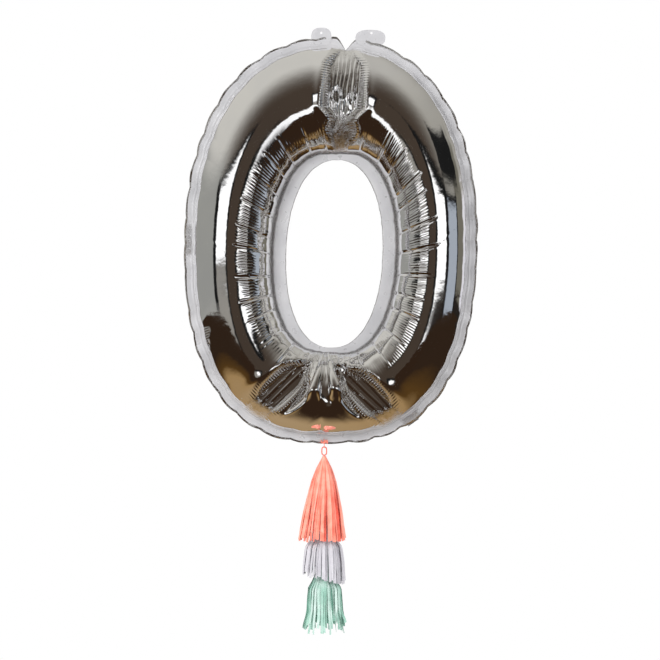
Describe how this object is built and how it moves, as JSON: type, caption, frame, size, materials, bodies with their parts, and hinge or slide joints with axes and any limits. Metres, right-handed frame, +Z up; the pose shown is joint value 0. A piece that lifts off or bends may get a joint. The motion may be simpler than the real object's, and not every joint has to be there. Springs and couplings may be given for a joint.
{
  "type": "foil number balloon",
  "caption": "Inflated mirror-foil balloon shaped like a zero, hung by two tabs, with a hanging tail of paper tassels below its bottom flange.",
  "frame": {"origin": "midway between the two hanging holes at the top, in the seam plane", "axes": "+Z up along the height of the zero, the front faces -Y, +X to the right of someone who looks at the front"},
  "size_m": [0.6103, 0.166, 1.2596],
  "materials": {
    "foil": "metallised nylon film, mirror bright",
    "clear_film": "clear polyethylene film",
    "coral_thread": "coral cotton thread",
    "cotton": "natural cotton thread",
    "coral_tissue": "matt coral tissue paper",
    "white_tissue": "matt white tissue paper",
    "mint_tissue": "matt mint tissue paper"
  },
  "bodies": {
    "balloon": {"front_foil": "foil", "back_foil": "foil", "valve_leaf_front": "clear_film", "valve_leaf_back": "clear_film", "tie_thread": "coral_thread", "tie_knot": "coral_thread"},
    "neck": {"neck_film_front": "foil", "neck_film_back": "foil", "neck_liner": "clear_film"},
    "coral_link": {"coral_eye": "coral_tissue"},
    "coral_tassel": {"coral_head": "coral_tissue", "coral_skirt": "coral_tissue"},
    "white_link": {"upper_string": "cotton", "white_eye": "white_tissue"},
    "white_tassel": {"white_head": "white_tissue", "white_skirt": "white_tissue"},
    "mint_link": {"lower_string": "cotton", "mint_eye": "mint_tissue"},
    "mint_tassel": {"mint_head": "mint_tissue", "mint_skirt": "mint_tissue"}
  },
  "joints": [
    {"name": "neck_fold", "type": "hinge", "parent": "balloon", "child": "neck", "pos_m": [0.13865, 0, -0.80802], "axis": [-0.8149, 0, -0.5796], "range_deg": [-25, 90]},
    {"name": "tail_sway", "type": "hinge", "parent": "balloon", "child": "coral_link", "pos_m": [-0.046, 0, -0.862], "axis": [0, 1, 0], "range_deg": [-60, 60]},
    {"name": "tail_swing", "type": "hinge", "parent": "coral_link", "child": "coral_tassel", "pos_m": [-0.046, 0, -0.877], "axis": [1, 0, 0], "range_deg": [-60, 60]},
    {"name": "white_sway", "type": "hinge", "parent": "coral_tassel", "child": "white_link", "pos_m": [-0.046, 0, -0.906], "axis": [0, 1, 0], "range_deg": [-4, 4]},
    {"name": "white_swing", "type": "hinge", "parent": "white_link", "child": "white_tassel", "pos_m": [-0.046, 0, -0.961], "axis": [1, 0, 0], "range_deg": [-4, 4]},
    {"name": "mint_sway", "type": "hinge", "parent": "white_tassel", "child": "mint_link", "pos_m": [-0.046, 0, -1.001], "axis": [0, 1, 0], "range_deg": [-4, 4]},
    {"name": "mint_swing", "type": "hinge", "parent": "mint_link", "child": "mint_tassel", "pos_m": [-0.046, 0, -1.071], "axis": [1, 0, 0], "range_deg": [-4, 4]}
  ]
}
